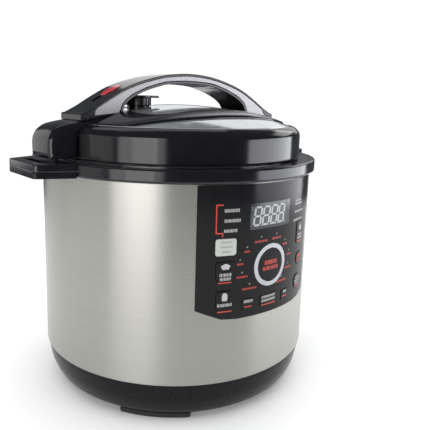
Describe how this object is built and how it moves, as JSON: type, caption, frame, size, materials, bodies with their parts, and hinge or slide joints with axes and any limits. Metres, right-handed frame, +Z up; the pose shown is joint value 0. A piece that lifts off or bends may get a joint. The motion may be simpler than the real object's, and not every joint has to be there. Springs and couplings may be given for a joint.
{
  "type": "electric pressure cooker",
  "caption": "Free-standing electric pressure cooker with a brushed steel body, black rim, side handles, curved key panel and a bayonet lid with an arched handle, release knob and removable pot",
  "frame": {"origin": "on the body's axis, at the level the feet stand on", "axes": "+Z up, -Y towards the control panel, X along the side handles and the lid's handle"},
  "size_m": [0.394, 0.336, 0.3615],
  "materials": {
    "shell_steel": "fine brushed",
    "gloss_black": "gloss moulded",
    "matte_black": "satin moulded",
    "foot_rubber": "matt",
    "liner_aluminium": "satin sheet",
    "cast_aluminium": "machined casting",
    "zinc_steel": "zinc plated",
    "white_plastic": "moulded",
    "pot_steel": "satin",
    "circuit_green": "solder mask",
    "silicone_grey": "silicone mat",
    "display_dark": "display block",
    "lens_smoke": "smoked gloss",
    "silver_trim": "satin silver",
    "brass_pins": "plated",
    "clear_plastic": "clear moulded",
    "lid_steel": "polished steel",
    "silicone_clear": "translucent silicone",
    "float_metal": "polished",
    "red_trim": "gloss",
    "key_black": "gloss"
  },
  "bodies": {
    "housing": {"steel_shell": "shell_steel", "base_cover": "gloss_black", "feet": "foot_rubber", "housing_rim": "gloss_black", "side_grips": "matte_black", "liner": "liner_aluminium", "heating_plate": "cast_aluminium", "sensor_bracket": "zinc_steel", "thermostat": "cast_aluminium", "pressure_switch": "white_plastic", "standoffs": "zinc_steel", "base_screws": "zinc_steel", "control_board": "circuit_green", "power_board": "circuit_green", "panel_fascia": "gloss_black", "key_carrier": "matte_black", "key_mat": "silicone_grey", "display_module": "display_dark", "display_lens": "lens_smoke", "menu_ring": "silver_trim", "power_inlet": "matte_black", "inlet_pins": "brass_pins", "cup_bracket": "matte_black"},
    "lid_seal": {"sealing_ring": "silicone_clear", "seal_rack": "zinc_steel"},
    "lid": {"lid_steel": "lid_steel", "lid_cover": "gloss_black", "lid_saddle": "gloss_black", "handle_body": "gloss_black", "handle_side_front": "silver_trim", "handle_side_rear": "silver_trim", "handle_badge": "red_trim", "handle_screws": "zinc_steel", "steam_pipe": "zinc_steel", "anti_block_shield": "pot_steel"},
    "knob": {"pressure_knob": "matte_black"},
    "float": {"float_valve": "float_metal", "float_seal": "silicone_clear"},
    "pot": {"inner_pot": "pot_steel"},
    "cup": {"condensation_cup": "clear_plastic"},
    "key_menu_select_body": {"key_menu_select": "key_black"},
    "key_keep_warm_body": {"key_keep_warm": "silver_trim"},
    "key_meat_body": {"key_meat": "key_black"},
    "key_canning_body": {"key_canning": "key_black"},
    "key_time_body": {"key_time": "key_black"},
    "key_delay_body": {"key_delay": "key_black"},
    "key_minus_body": {"key_minus": "key_black"},
    "key_heat_body": {"key_heat": "key_black"},
    "key_cancel_body": {"key_cancel": "red_trim"},
    "key_plus_body": {"key_plus": "key_black"}
  },
  "joints": [
    {"name": "lid_lift", "type": "slide", "parent": "housing", "child": "lid_seal", "axis": [0, 0, 1], "range_m": [0, 0.45]},
    {"name": "lid_turn", "type": "hinge", "parent": "lid_seal", "child": "lid", "pos_m": [0, 0, 0.3], "axis": [0, 0, 1], "range_deg": [0, 30]},
    {"name": "pot_lift", "type": "slide", "parent": "housing", "child": "pot", "axis": [0, 0, 1], "range_m": [0, 0.225]},
    {"name": "knob_turn", "type": "hinge", "parent": "lid", "child": "knob", "pos_m": [-0.057, 0, 0.325], "axis": [0, 0, 1], "range_deg": [0, 90]},
    {"name": "float_rise", "type": "slide", "parent": "lid", "child": "float", "axis": [0, 0, 1], "range_m": [0, 0.005]},
    {"name": "cup_pull", "type": "slide", "parent": "housing", "child": "cup", "axis": [0, 1, 0], "range_m": [0, 0.04]},
    {"name": "key_menu_select_press", "type": "slide", "parent": "housing", "child": "key_menu_select_body", "axis": [0, 1, 0], "range_m": [0, 0.0006], "stiffness_N_per_m": 1500},
    {"name": "key_keep_warm_press", "type": "slide", "parent": "housing", "child": "key_keep_warm_body", "axis": [0.3338, 0.9426, 0], "range_m": [0, 0.0006], "stiffness_N_per_m": 1500},
    {"name": "key_meat_press", "type": "slide", "parent": "housing", "child": "key_meat_body", "axis": [0.3338, 0.9426, 0], "range_m": [0, 0.0006], "stiffness_N_per_m": 1500},
    {"name": "key_canning_press", "type": "slide", "parent": "housing", "child": "key_canning_body", "axis": [0.3338, 0.9426, 0], "range_m": [0, 0.0006], "stiffness_N_per_m": 1500},
    {"name": "key_time_press", "type": "slide", "parent": "housing", "child": "key_time_body", "axis": [0.1736, 0.9848, 0], "range_m": [0, 0.0006], "stiffness_N_per_m": 1500},
    {"name": "key_delay_press", "type": "slide", "parent": "housing", "child": "key_delay_body", "axis": [0.0087, 1, 0], "range_m": [0, 0.0006], "stiffness_N_per_m": 1500},
    {"name": "key_minus_press", "type": "slide", "parent": "housing", "child": "key_minus_body", "axis": [-0.1564, 0.9877, 0], "range_m": [0, 0.0006], "stiffness_N_per_m": 1500},
    {"name": "key_heat_press", "type": "slide", "parent": "housing", "child": "key_heat_body", "axis": [-0.3256, 0.9455, 0], "range_m": [0, 0.0006], "stiffness_N_per_m": 1500},
    {"name": "key_cancel_press", "type": "slide", "parent": "housing", "child": "key_cancel_body", "axis": [-0.3338, 0.9426, 0], "range_m": [0, 0.0006], "stiffness_N_per_m": 1500},
    {"name": "key_plus_press", "type": "slide", "parent": "housing", "child": "key_plus_body", "axis": [-0.3256, 0.9455, 0], "range_m": [0, 0.0006], "stiffness_N_per_m": 1500}
  ],
  "couplings": [
    {"joint": "pot_lift", "follows": "lid_lift", "ratio": 0.5}
  ]
}
